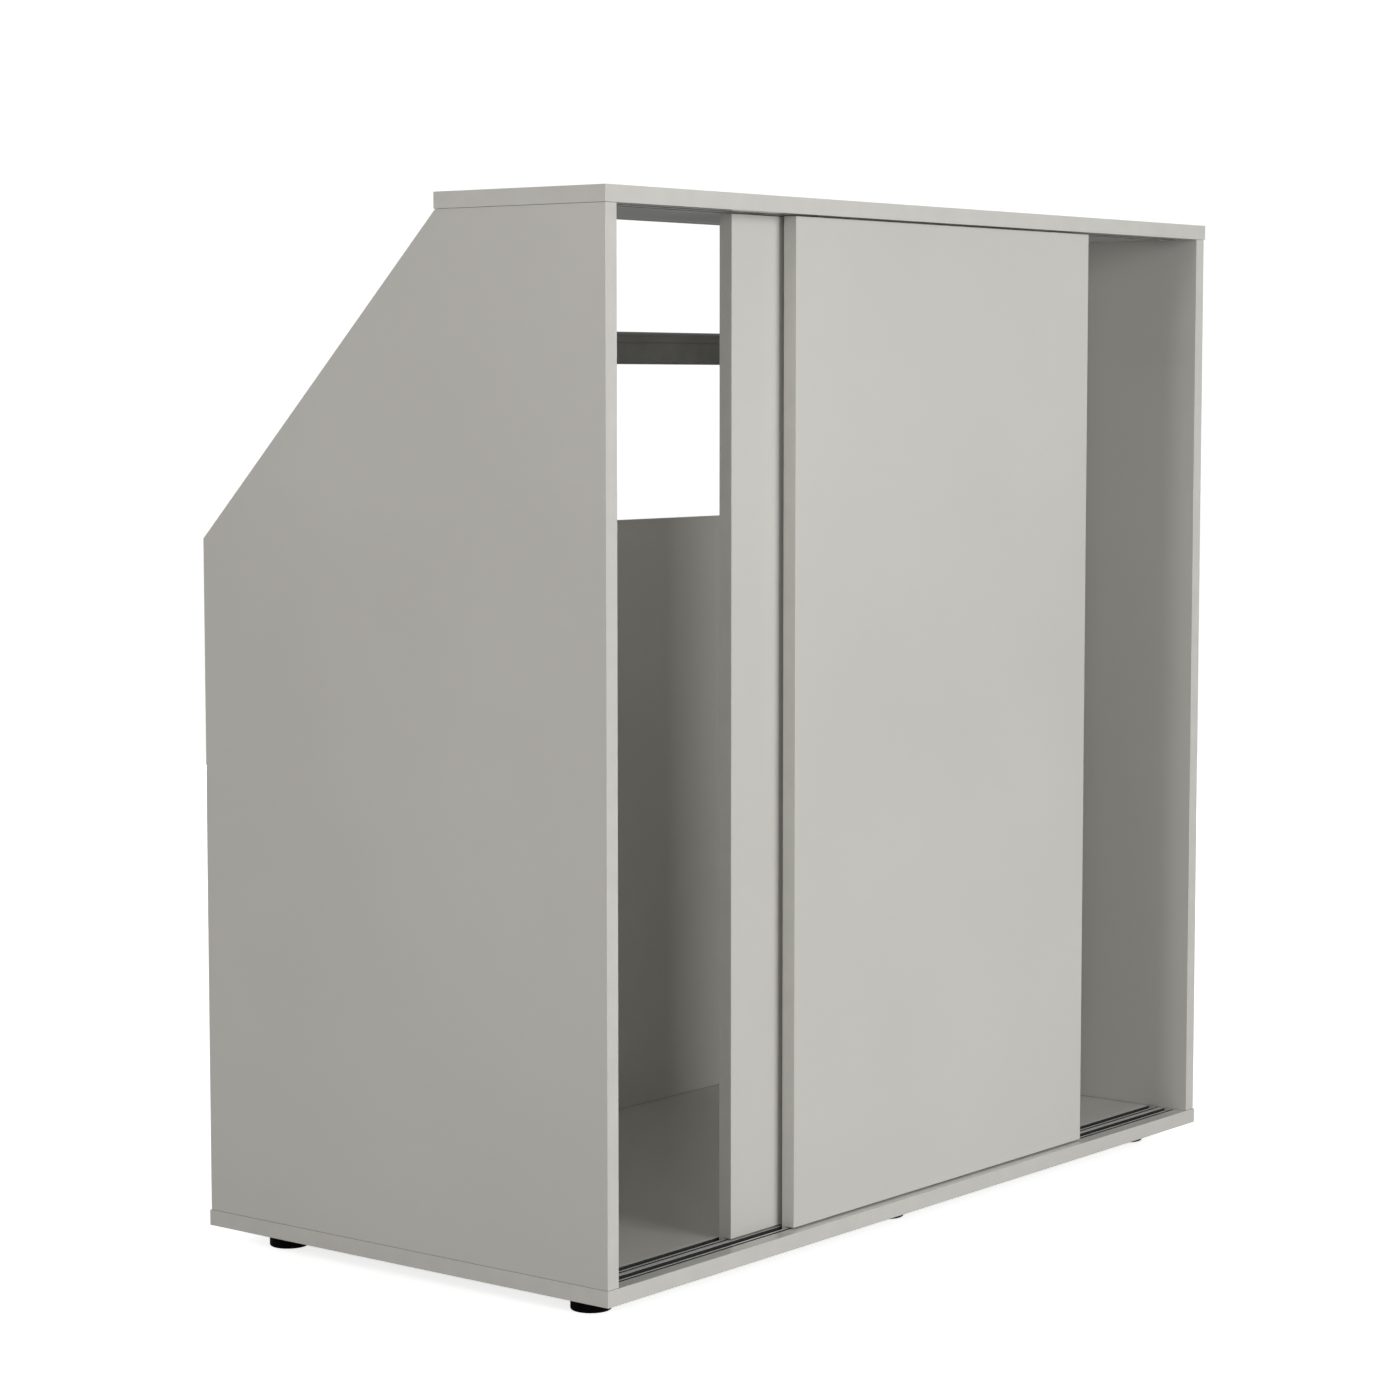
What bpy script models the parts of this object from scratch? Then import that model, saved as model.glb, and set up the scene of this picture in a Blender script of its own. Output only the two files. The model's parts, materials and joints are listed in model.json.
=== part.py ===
"""Sliding door wardrobe whose sides are cut back for a sloping ceiling.

Units are metres and +Z is up. The doors face -Y. The origin is on the floor, under the middle
of the top and bottom panels' footprint.
"""

import math

import bmesh
import bpy
from mathutils import Matrix, Vector

# Every pair of pieces that touches keeps this gap.
GAP = 0.0003
# A cutter runs this far past the surface that it opens.
PAST = 0.001

# Carcass
WIDTH = 1.200
DEPTH = 0.597
BODY_HEIGHT = 1.1672
FOOT_HEIGHT = 0.023
BOARD = 0.018
TOP_DEPTH = 0.238
OVERHANG = 0.0013
KNEE_HEIGHT = 0.7904

FRONT_Y = -DEPTH / 2
BACK_Y = DEPTH / 2
FLOOR_Z = FOOT_HEIGHT + BOARD
TOP_Z = FOOT_HEIGHT + BODY_HEIGHT
CEILING_Z = TOP_Z - BOARD
KNEE_Z = FOOT_HEIGHT + KNEE_HEIGHT
SIDE_OUTER_X = WIDTH / 2 - OVERHANG
SIDE_INNER_X = SIDE_OUTER_X - BOARD
SIDE_FRONT_Y = FRONT_Y + OVERHANG
SIDE_BACK_Y = BACK_Y - OVERHANG

# Back panel, screwed into a rebate of the two side panels
BACK_BOARD = 0.008
REBATE_WIDTH = 0.009
BACK_PANEL_Y = SIDE_BACK_Y - GAP - BACK_BOARD
BACK_PANEL_TOP_Z = KNEE_Z - 2 * GAP
BACK_SCREW_HEIGHTS = (0.120, 0.430, 0.740)
SCREW_HEAD_RADIUS = 0.0035
SCREW_HEAD_DEPTH = 0.0022
SCREW_RADIUS = 0.0015
SCREW_TIP = 0.003
SCREW_LENGTH = 0.020

# Wooden dowels between the side panels and the top and bottom panels
DOWEL_RADIUS = 0.004
DOWEL_CHAMFER = 0.0008
DOWEL_IN_PANEL = 0.010
DOWEL_IN_SIDE = 0.024
BOTTOM_DOWELS_Y = (FRONT_Y + 0.110, FRONT_Y + 0.500)
TOP_DOWELS_Y = (FRONT_Y + 0.085, FRONT_Y + 0.205)

# Feet
FOOT_RADIUS = 0.0224
FOOT_EDGE = 0.002
FOOT_STEM_RADIUS = 0.004
FOOT_STEM = 0.012
FOOT_INSET_X = 0.0567
FOOT_INSET_Y = 0.0713

# Clothes rail and its end sockets
RAIL_HEIGHT = 0.037
RAIL_THICKNESS = 0.015
RAIL_WALL = 0.0018
RAIL_GROOVE_WIDTH = 0.0012
RAIL_GROOVE_DEPTH = 0.0006
RAIL_GROOVE_Z = 0.0062
RAIL_Y = FRONT_Y + 0.255
RAIL_Z = FOOT_HEIGHT + 1.0055
SOCKET_WALL = 0.0022
SOCKET_BASE = 0.0025
SOCKET_LENGTH = 0.012
SOCKET_PIN_RADIUS = 0.0025
SOCKET_PIN_LENGTH = 0.008
SOCKET_PIN_PITCH = 0.032

# Doors. Positions across a lane are counted from the front face of its door.
DOOR_WIDTH = 0.5995
DOOR_BOARD = 0.017
DOOR_BOTTOM_Z = FLOOR_Z + 0.0015
DOOR_TOP_Z = CEILING_Z - 0.0014
DOOR_HEIGHT = DOOR_TOP_Z - DOOR_BOTTOM_Z
FRONT_LANE_Y = FRONT_Y + 0.0125
REAR_LANE_Y = FRONT_LANE_Y + 0.0235
FRONT_DOOR_X = 0.04025
REAR_DOOR_X = -0.04465
STOP_CLEARANCE = 0.002
TONGUE_Y = 0.012
TONGUE_DROP = 0.0055

# Inlaid double tracks, the same section in the bottom panel and, upside down, in the top panel
TRACK_FRONT = 0.0012
TRACK_BACK = 0.0244
TRACK_CHANNEL = 0.0085
TRACK_WEB = 0.0012
SLOT_FRONT = 0.0044
SLOT_BACK = 0.0084
SLOT_DEPTH = 0.0040
GROOVE_FRONT = 0.011
GROOVE_BACK = 0.021
GROOVE_DEPTH = TRACK_CHANNEL - GAP - TRACK_WEB

# Rollers and their housings, let into the back of a door's lower edge
HOUSING_Y = 0.0098
HOUSING_CORNER = 0.006
CAVITY_FRONT = 0.0113
CAVITY_BACK = 0.0154
PEG_RADIUS = 0.003
PEG_LENGTH = 0.0055
ROLLER_RADIUS = 0.012
ROLLER_WIDTH = 0.0035
ROLLER_CHAMFER = 0.0005
ROLLER_INSET = 0.070
ROLLER_Z = FLOOR_Z - GROOVE_DEPTH + GAP + ROLLER_RADIUS - DOOR_BOTTOM_Z
ROLLER_HOUSING_WIDTH = 0.052
ROLLER_HOUSING_HEIGHT = 0.030
ROLLER_PEG_X = 0.019
ROLLER_PEG_Z = 0.020
AXLE_RADIUS = 0.0015
AXLE_CLEARANCE = 0.00015

# Sprung guides, let into the back of a door's upper edge. Heights are counted from that edge.
GUIDE_INSET = 0.060
GUIDE_HOUSING_WIDTH = 0.040
GUIDE_HOUSING_HEIGHT = 0.038
GUIDE_HOUSING_TOP = -0.0002
GUIDE_CAVITY_FLOOR = -0.034
GUIDE_PEG_X = 0.014
GUIDE_PEG_Z = -0.029
PLUNGER_WIDTH = 0.014
PLUNGER_THICKNESS = 0.0035
PLUNGER_CORNER = 0.003
PLUNGER_TOP = 0.0069
PLUNGER_BOTTOM = -0.020
PLUNGER_TRAVEL = 0.0075
TAB_WIDTH = 0.008
TAB_TOP = -0.0095
TAB_HEIGHT = 0.005
TAB_REACH = 0.0016
SPRING_RADIUS = 0.00145
SPRING_WIRE = 0.00025
SPRING_TURNS = 5
SPRING_POINTS_PER_TURN = 8

# End stops in the grooves of the top track
STOP_LENGTH = 0.014
STOP_CHAMFER = 0.001

ROUND_SEGMENTS = 24
SMALL_SEGMENTS = 16
SCREW_SEGMENTS = 12
CORNER_STEPS = 6
RAIL_ARC_STEPS = 8
SHARP_ANGLE = math.radians(35)
QUARTER_TURN = math.pi / 2

# A round bar or an outline is drawn about Z. ALONG_Y lays it along Y, with the outline in X and Z,
# and ALONG_X along X, with the outline in Y and Z.
ALONG_Y = Matrix.Rotation(QUARTER_TURN, 4, "X")
ALONG_X = Matrix.Rotation(QUARTER_TURN, 4, "Z") @ ALONG_Y


def clear_scene():
    for old in list(bpy.data.objects):
        bpy.data.objects.remove(old, do_unlink=True)


def new_collection(name):
    collection = bpy.data.collections.new(name)
    bpy.context.scene.collection.children.link(collection)
    return collection


def linear(channel):
    """An sRGB channel as the linear value that a shader takes."""
    if channel <= 0.04045:
        return channel / 12.92
    return ((channel + 0.055) / 1.055) ** 2.4


def new_material(name, colour, roughness, metallic=0.0):
    material = bpy.data.materials.new(name)
    material.use_nodes = True
    shader = material.node_tree.nodes["Principled BSDF"]
    shader.inputs["Base Color"].default_value = (*map(linear, colour), 1.0)
    shader.inputs["Roughness"].default_value = roughness
    shader.inputs["Metallic"].default_value = metallic
    material.diffuse_color = (*colour, 1.0)
    return material


clear_scene()
PARTS = new_collection("sliding_door_wardrobe")
TOOLS = new_collection("cutters")

LAMINATE = new_material("light_grey_laminate", (0.80, 0.79, 0.77), 0.18)
BACK_LAMINATE = new_material("back_board_laminate", (0.79, 0.78, 0.76), 0.35)
ALUMINIUM = new_material("anodised_aluminium", (0.78, 0.78, 0.77), 0.30, 1.0)
ANTHRACITE = new_material("anthracite_coating", (0.24, 0.24, 0.23), 0.35, 0.3)
BLACK_PLASTIC = new_material("black_plastic", (0.05, 0.05, 0.05), 0.45)
GREY_PLASTIC = new_material("grey_plastic", (0.55, 0.55, 0.54), 0.45)
WHITE_NYLON = new_material("white_nylon", (0.85, 0.84, 0.80), 0.40)
STEEL = new_material("zinc_plated_steel", (0.70, 0.71, 0.72), 0.28, 1.0)
BEECH = new_material("beech_wood", (0.78, 0.62, 0.43), 0.60)


def place(name, mesh, location=(0, 0, 0), material=None, parent=None):
    """An object for a mesh. One with no material is a cutter."""
    piece = bpy.data.objects.new(name, mesh)
    piece.location = location
    piece.parent = parent
    if material is None:
        TOOLS.objects.link(piece)
        piece.hide_render = True
        piece.display_type = "WIRE"
    else:
        PARTS.objects.link(piece)
        mesh.materials.append(material)
    return piece


def mesh_of(name, form):
    mesh = bpy.data.meshes.new(name)
    form.to_mesh(mesh)
    form.free()
    return mesh


def smooth(mesh):
    mesh.shade_smooth()
    mesh.set_sharp_from_angle(angle=SHARP_ANGLE)


def box(name, x, y, z, material=None, parent=None):
    """A block that fills three (low, high) spans. Its origin is its centre."""
    spans = (x, y, z)
    size = [high - low for low, high in spans]
    form = bmesh.new()
    bmesh.ops.create_cube(form, size=1.0, matrix=Matrix.Diagonal((*size, 1.0)))
    centre = [(high + low) / 2 for low, high in spans]
    return place(name, mesh_of(name, form), centre, material, parent)


def cylinder(name, radius, length, turn, centre, material=None, parent=None):
    """A round bar about its own centre, along Z until turn rotates it."""
    form = bmesh.new()
    bmesh.ops.create_cone(
        form,
        cap_ends=True,
        segments=SMALL_SEGMENTS,
        radius1=radius,
        radius2=radius,
        depth=length,
        matrix=turn,
    )
    mesh = mesh_of(name, form)
    smooth(mesh)
    return place(name, mesh, centre, material, parent)


def settled_mesh(source, name):
    """The shape that a curve or a modifier gives, as a mesh with its seams welded."""
    bpy.context.scene.collection.objects.link(source)
    graph = bpy.context.evaluated_depsgraph_get()
    mesh = bpy.data.meshes.new_from_object(source.evaluated_get(graph))
    bpy.data.objects.remove(source, do_unlink=True)
    mesh.name = name
    form = bmesh.new()
    form.from_mesh(mesh)
    bmesh.ops.remove_doubles(form, verts=form.verts, dist=1e-6)
    bmesh.ops.recalc_face_normals(form, faces=form.faces)
    form.to_mesh(mesh)
    form.free()
    mesh.materials.clear()
    smooth(mesh)
    return mesh


def extruded(name, outlines, span, turn, location=(0, 0, 0), material=None, parent=None):
    """A flat shape with its holes, extruded over a (low, high) span of X or Y, as turn lays it."""
    curve = bpy.data.curves.new(name, "CURVE")
    curve.dimensions = "2D"
    curve.fill_mode = "BOTH"
    curve.extrude = (span[1] - span[0]) / 2
    for outline in outlines:
        spline = curve.splines.new("POLY")
        spline.points.add(len(outline) - 1)
        for point, (across, up) in zip(spline.points, outline):
            point.co = (across, up, 0, 1)
        spline.use_cyclic_u = True
    mesh = settled_mesh(bpy.data.objects.new(name, curve), name)
    direction = Vector((1, 0, 0)) if turn == ALONG_X else Vector((0, 1, 0))
    middle = (span[0] + span[1]) / 2
    mesh.transform(Matrix.Translation(middle * direction) @ turn)
    return place(name, mesh, location, material, parent)


def turned(name, profile, location, turn, steps, material=None, parent=None):
    """A profile of (radius, height) points, running down its outer side, spun about Z.

    A profile that starts off the axis is closed to a ring.
    """
    mesh = bpy.data.meshes.new(name)
    edges = [(i, i + 1) for i in range(len(profile) - 1)]
    if profile[0][0] > 0:
        edges.append((len(profile) - 1, 0))
    mesh.from_pydata([(radius, 0, height) for radius, height in profile], edges, [])
    source = bpy.data.objects.new(name, mesh)
    spin = source.modifiers.new("spin", "SCREW")
    spin.steps = steps
    spin.render_steps = steps
    spin.use_merge_vertices = True
    spin.merge_threshold = 1e-5
    shape = settled_mesh(source, name)
    shape.transform(turn)
    return place(name, shape, location, material, parent)


def arc(centre, radius, start, end, steps):
    """Points on an arc, its angles in quarter turns."""
    for step in range(steps + 1):
        angle = (start + (end - start) * step / steps) * QUARTER_TURN
        yield centre[0] + radius * math.cos(angle), centre[1] + radius * math.sin(angle)


def apply_tool(piece, tool, operation):
    boolean = piece.modifiers.new(tool.name, "BOOLEAN")
    boolean.operation = operation
    boolean.solver = "EXACT"
    boolean.object = tool


def cut(piece, tool):
    apply_tool(piece, tool, "DIFFERENCE")


def join(piece, tool):
    apply_tool(piece, tool, "UNION")


def chamfer_ends(piece, width):
    """Bevels only the square edges round the ends of a round bar, or all those of a block."""
    bevel = piece.modifiers.new("chamfer", "BEVEL")
    bevel.width = width
    bevel.segments = 1
    bevel.limit_method = "ANGLE"
    bevel.angle_limit = math.radians(60)


def flat_topped(half_width, low, high, corner):
    """The outline of a plate with two rounded upper corners."""
    left = (-half_width + corner, high - corner)
    right = (half_width - corner, high - corner)
    return [
        (-half_width, low),
        (half_width, low),
        *arc(right, corner, 0, 1, CORNER_STEPS),
        *arc(left, corner, 1, 2, CORNER_STEPS),
    ]


def flat_bottomed(half_width, low, high, corner):
    """The same plate upside down."""
    return [(x, low + high - z) for x, z in flat_topped(half_width, low, high, corner)]


# Carcass


def make_side_panel(hand, side):
    """A five-cornered board whose upper back corner is cut off at 45 degrees."""
    low_z = FLOOR_Z + GAP
    high_z = CEILING_Z - GAP
    outline = [
        (SIDE_FRONT_Y, low_z),
        (SIDE_BACK_Y, low_z),
        (SIDE_BACK_Y, KNEE_Z),
        (SIDE_BACK_Y - (high_z - KNEE_Z), high_z),
        (SIDE_FRONT_Y, high_z),
    ]
    span = sorted((side * SIDE_INNER_X, side * SIDE_OUTER_X))
    name = hand + "_side_panel"
    panel = extruded(name, [outline], span, ALONG_X, material=LAMINATE)
    rebate = box(
        name + "_rebate",
        sorted((side * (SIDE_INNER_X - PAST), side * (SIDE_INNER_X + REBATE_WIDTH))),
        (BACK_PANEL_Y - GAP, SIDE_BACK_Y + PAST),
        (FLOOR_Z - PAST, BACK_PANEL_TOP_Z + GAP),
    )
    cut(panel, rebate)
    return panel


def make_carcass():
    bottom = box(
        "bottom_panel",
        (-WIDTH / 2, WIDTH / 2),
        (FRONT_Y, BACK_Y),
        (FOOT_HEIGHT, FLOOR_Z),
        LAMINATE,
    )
    top = box(
        "top_panel",
        (-WIDTH / 2, WIDTH / 2),
        (FRONT_Y, FRONT_Y + TOP_DEPTH),
        (CEILING_Z, TOP_Z),
        LAMINATE,
    )
    back_half_width = SIDE_INNER_X + REBATE_WIDTH - GAP
    back = box(
        "back_panel",
        (-back_half_width, back_half_width),
        (BACK_PANEL_Y, BACK_PANEL_Y + BACK_BOARD),
        (FLOOR_Z + GAP, BACK_PANEL_TOP_Z),
        BACK_LAMINATE,
    )
    sides = {-1: make_side_panel("left", -1), 1: make_side_panel("right", 1)}
    return bottom, top, back, sides


def make_dowel(name, x, y, joint_z, up, panel, side_panel):
    """A dowel across the joint at joint_z. The side panel lies above it where up is 1."""
    span = sorted((joint_z - up * DOWEL_IN_PANEL, joint_z + up * DOWEL_IN_SIDE))
    length = span[1] - span[0]
    centre = (x, y, sum(span) / 2)
    dowel = cylinder(name, DOWEL_RADIUS, length, Matrix(), centre, BEECH)
    chamfer_ends(dowel, DOWEL_CHAMFER)
    bore = cylinder(name + "_bore", DOWEL_RADIUS + GAP, length + 2 * GAP, Matrix(), centre)
    cut(panel, bore)
    cut(side_panel, bore)


def make_dowels(bottom, top, sides):
    for side, hand in ((-1, "left"), (1, "right")):
        x = side * (SIDE_INNER_X + BOARD / 2)
        for place_name, y in zip(("front", "back"), BOTTOM_DOWELS_Y):
            name = "dowel_bottom_" + hand + "_" + place_name
            make_dowel(name, x, y, FLOOR_Z, 1, bottom, sides[side])
        for place_name, y in zip(("front", "back"), TOP_DOWELS_Y):
            name = "dowel_top_" + hand + "_" + place_name
            make_dowel(name, x, y, CEILING_Z, -1, top, sides[side])


def screw_profile(grow):
    """A countersunk screw, head up, with its head's flat face at height 0."""
    return [
        (0, grow),
        (SCREW_HEAD_RADIUS + grow, grow),
        (SCREW_RADIUS + grow, -SCREW_HEAD_DEPTH),
        (SCREW_RADIUS + grow, SCREW_TIP - SCREW_LENGTH),
        (0, -SCREW_LENGTH - grow),
    ]


def make_back_screws(back, sides):
    """Screws through the back panel, each into the floor of a side panel's rebate."""
    facing_back = Matrix.Rotation(-QUARTER_TURN, 4, "X")
    for side, hand in ((-1, "left"), (1, "right")):
        for number, z in enumerate(BACK_SCREW_HEIGHTS, 1):
            name = "back_screw_" + hand + "_" + str(number)
            head = (side * (SIDE_INNER_X + REBATE_WIDTH / 2), BACK_PANEL_Y + BACK_BOARD, z)
            turned(name, screw_profile(0), head, facing_back, SCREW_SEGMENTS, STEEL)
            hole_profile = screw_profile(GAP)
            hole = turned(name + "_hole", hole_profile, head, facing_back, SCREW_SEGMENTS)
            cut(back, hole)
            cut(sides[side], hole)


def make_feet(bottom):
    """Six black feet, each held by a stem in the bottom panel."""
    top_z = FOOT_HEIGHT - GAP
    rounded_edge = arc((FOOT_RADIUS - FOOT_EDGE, FOOT_EDGE), FOOT_EDGE, 0, -1, CORNER_STEPS)
    profile = [
        (0, top_z + FOOT_STEM),
        (FOOT_STEM_RADIUS, top_z + FOOT_STEM),
        (FOOT_STEM_RADIUS, top_z),
        (FOOT_RADIUS, top_z),
        *rounded_edge,
        (0, 0),
    ]
    columns = (("left", -1), ("middle", 0), ("right", 1))
    rows = (("front", -1), ("back", 1))
    for column, x_side in columns:
        for row, y_side in rows:
            x = x_side * (WIDTH / 2 - FOOT_INSET_X)
            y = y_side * (DEPTH / 2 - FOOT_INSET_Y)
            name = "foot_" + row + "_" + column
            turned(name, profile, (x, y, 0), Matrix(), ROUND_SEGMENTS, BLACK_PLASTIC)
            depth = FOOT_STEM + GAP + PAST
            bore_centre = (x, y, FOOT_HEIGHT - PAST + depth / 2)
            bore = cylinder(name + "_bore", FOOT_STEM_RADIUS + GAP, depth, Matrix(), bore_centre)
            cut(bottom, bore)


# Tracks


def track_outline(face_z, inward):
    """The double track's section in Y and Z. It is let into a panel whose face is at face_z."""
    outer_z = face_z + inward * (TRACK_CHANNEL - GAP)
    points = [
        (FRONT_LANE_Y + TRACK_FRONT, face_z),
        (FRONT_LANE_Y + TRACK_FRONT, outer_z),
        (REAR_LANE_Y + TRACK_BACK, outer_z),
        (REAR_LANE_Y + TRACK_BACK, face_z),
    ]
    for lane in (REAR_LANE_Y, FRONT_LANE_Y):
        recesses = ((GROOVE_BACK, GROOVE_FRONT, GROOVE_DEPTH), (SLOT_BACK, SLOT_FRONT, SLOT_DEPTH))
        for back, front, depth in recesses:
            points += [
                (lane + back, face_z),
                (lane + back, face_z + inward * depth),
                (lane + front, face_z + inward * depth),
                (lane + front, face_z),
            ]
    return points


def make_track(name, panel, face_z, inward):
    half_length = SIDE_INNER_X - GAP
    outline = track_outline(face_z, inward)
    extruded(name, [outline], (-half_length, half_length), ALONG_X, material=ALUMINIUM)
    channel = box(
        name + "_channel",
        (-SIDE_INNER_X, SIDE_INNER_X),
        (FRONT_LANE_Y + TRACK_FRONT - GAP, REAR_LANE_Y + TRACK_BACK + GAP),
        sorted((face_z - inward * PAST, face_z + inward * TRACK_CHANNEL)),
    )
    cut(panel, channel)


def make_end_stops():
    """A block in each end of both top grooves, which a door's guide plunger runs up against."""
    plunger_reach = GUIDE_INSET - PLUNGER_WIDTH / 2
    face_x = SIDE_INNER_X - STOP_CLEARANCE - plunger_reach + GAP
    for lane_name, lane in (("front", FRONT_LANE_Y), ("rear", REAR_LANE_Y)):
        for hand, side in (("left", -1), ("right", 1)):
            stop = box(
                "end_stop_" + lane_name + "_" + hand,
                sorted((side * face_x, side * (face_x + STOP_LENGTH))),
                (lane + GROOVE_FRONT + GAP, lane + GROOVE_BACK - GAP),
                (CEILING_Z + GAP, CEILING_Z + GROOVE_DEPTH - GAP),
                BLACK_PLASTIC,
            )
            chamfer_ends(stop, STOP_CHAMFER)


# Clothes rail


def upright_oval(half_thickness, half_height):
    straight = half_height - half_thickness
    return [
        *arc((0, straight), half_thickness, 0, 2, RAIL_ARC_STEPS),
        *arc((0, -straight), half_thickness, 2, 4, RAIL_ARC_STEPS),
    ]


def rail_outline():
    """An upright oval with a fine groove along both flat sides."""
    half_thickness = RAIL_THICKNESS / 2
    straight = RAIL_HEIGHT / 2 - half_thickness
    low = RAIL_GROOVE_Z - RAIL_GROOVE_WIDTH / 2
    high = RAIL_GROOVE_Z + RAIL_GROOVE_WIDTH / 2
    floor = half_thickness - RAIL_GROOVE_DEPTH
    rising = [(half_thickness, low), (floor, low), (floor, high), (half_thickness, high)]
    falling = [(-y, z) for y, z in reversed(rising)]
    return [
        *rising,
        *arc((0, straight), half_thickness, 0, 2, RAIL_ARC_STEPS),
        *falling,
        *arc((0, -straight), half_thickness, 2, 4, RAIL_ARC_STEPS),
    ]


def make_rail(sides):
    centre = (0, RAIL_Y, RAIL_Z)
    half_length = SIDE_INNER_X - SOCKET_BASE - 2 * GAP
    bore = upright_oval(RAIL_THICKNESS / 2 - RAIL_WALL, RAIL_HEIGHT / 2 - RAIL_WALL)
    outlines = [rail_outline(), bore]
    extruded("clothes_rail", outlines, (-half_length, half_length), ALONG_X, centre, ANTHRACITE)
    for hand, side in (("left", -1), ("right", 1)):
        make_rail_socket("rail_socket_" + hand, side, sides[side])


def make_rail_socket(name, side, side_panel):
    """An oval cup round the rail's end, with two pins that plug into the side panel."""
    centre = (0, RAIL_Y, RAIL_Z)
    base_x = SIDE_INNER_X - GAP
    room = RAIL_THICKNESS / 2 + GAP, RAIL_HEIGHT / 2 + GAP
    outer = upright_oval(room[0] + SOCKET_WALL, room[1] + SOCKET_WALL)
    span = sorted((side * (base_x - SOCKET_LENGTH), side * base_x))
    socket = extruded(name, [outer], span, ALONG_X, centre, ANTHRACITE)
    hollow_span = sorted((side * (base_x - SOCKET_LENGTH - PAST), side * (base_x - SOCKET_BASE)))
    hollow = extruded(name + "_hollow", [upright_oval(*room)], hollow_span, ALONG_X, centre)
    cut(socket, hollow)
    along_x = Matrix.Rotation(QUARTER_TURN, 4, "Y")
    for number, up in enumerate((-1, 1), 1):
        z = RAIL_Z + up * SOCKET_PIN_PITCH / 2
        length = PAST + SOCKET_PIN_LENGTH
        pin_centre = (side * (base_x - PAST + length / 2), RAIL_Y, z)
        pin_name = name + "_pin_" + str(number)
        join(socket, cylinder(pin_name, SOCKET_PIN_RADIUS, length, along_x, pin_centre))
        bore_radius = SOCKET_PIN_RADIUS + GAP
        bore_length = length + 2 * GAP
        cut(side_panel, cylinder(pin_name + "_bore", bore_radius, bore_length, along_x, pin_centre))


# Doors


def add_pegs(housing, panel, name, peg_x, peg_z, door):
    """Two pegs on the housing's front, pressed into blind bores of the door."""
    for number, side in enumerate((-1, 1), 1):
        x = housing.location.x + side * peg_x
        length = PEG_LENGTH + PAST
        centre = (x, HOUSING_Y + PAST - length / 2, peg_z)
        peg_name = name + "_peg_" + str(number)
        join(housing, cylinder(peg_name, PEG_RADIUS, length, ALONG_Y, centre, parent=door))
        bore_length = length + 2 * GAP
        bore_radius = PEG_RADIUS + GAP
        bore = cylinder(peg_name + "_bore", bore_radius, bore_length, ALONG_Y, centre, parent=door)
        cut(panel, bore)


def make_roller(name, x, panel, door):
    """A wheel on a fixed axle in a housing. It runs in the bottom track's groove."""
    half_width = ROLLER_HOUSING_WIDTH / 2
    pocket_outline = flat_topped(
        half_width + GAP, -TONGUE_DROP - PAST, ROLLER_HOUSING_HEIGHT + GAP, HOUSING_CORNER
    )
    pocket_span = (HOUSING_Y - GAP, DOOR_BOARD + PAST)
    pocket_name = name + "_pocket"
    at = (x, 0, 0)
    pocket = extruded(pocket_name, [pocket_outline], pocket_span, ALONG_Y, at, parent=door)
    cut(panel, pocket)

    outline = flat_topped(half_width, 0, ROLLER_HOUSING_HEIGHT, HOUSING_CORNER)
    housing_name = name + "_housing"
    span = (HOUSING_Y, DOOR_BOARD)
    housing = extruded(housing_name, [outline], span, ALONG_Y, at, GREY_PLASTIC, door)
    wheel_room = ROLLER_RADIUS + PAST
    slot = box(
        name + "_slot",
        (x - wheel_room, x + wheel_room),
        (CAVITY_FRONT, CAVITY_BACK),
        (-PAST, ROLLER_Z + wheel_room),
        parent=door,
    )
    cut(housing, slot)
    add_pegs(housing, panel, name, ROLLER_PEG_X, ROLLER_PEG_Z, door)

    bore_radius = AXLE_RADIUS + AXLE_CLEARANCE
    axle_length = DOOR_BOARD - HOUSING_Y - 2 * AXLE_CLEARANCE
    axle_centre = (x, (DOOR_BOARD + HOUSING_Y) / 2, ROLLER_Z)
    cylinder(name + "_axle", AXLE_RADIUS, axle_length, ALONG_Y, axle_centre, STEEL, door)
    bore_length = DOOR_BOARD - HOUSING_Y + 2 * PAST
    bore = cylinder(name + "_axle_bore", bore_radius, bore_length, ALONG_Y, axle_centre, parent=door)
    cut(housing, bore)

    half = ROLLER_WIDTH / 2
    rim = ROLLER_RADIUS - ROLLER_CHAMFER
    profile = [
        (rim, half),
        (ROLLER_RADIUS, half - ROLLER_CHAMFER),
        (ROLLER_RADIUS, ROLLER_CHAMFER - half),
        (rim, -half),
        (bore_radius, -half),
        (bore_radius, half),
    ]
    wheel_centre = (x, (CAVITY_FRONT + CAVITY_BACK) / 2, ROLLER_Z)
    turned(name + "_wheel", profile, wheel_centre, ALONG_Y, ROUND_SEGMENTS, WHITE_NYLON, door)


def spring_mesh(name, length):
    """A coil spring standing on its origin."""
    curve = bpy.data.curves.new(name, "CURVE")
    curve.dimensions = "3D"
    curve.bevel_depth = SPRING_WIRE
    curve.bevel_resolution = 1
    curve.use_fill_caps = True
    steps = SPRING_TURNS * SPRING_POINTS_PER_TURN
    spline = curve.splines.new("POLY")
    spline.points.add(steps)
    rise = length - 2 * SPRING_WIRE
    for step, point in enumerate(spline.points):
        angle = 4 * QUARTER_TURN * step / SPRING_POINTS_PER_TURN
        height = SPRING_WIRE + rise * step / steps
        point.co = (SPRING_RADIUS * math.cos(angle), SPRING_RADIUS * math.sin(angle), height, 1)
    return settled_mesh(bpy.data.objects.new(name, curve), name)


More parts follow.
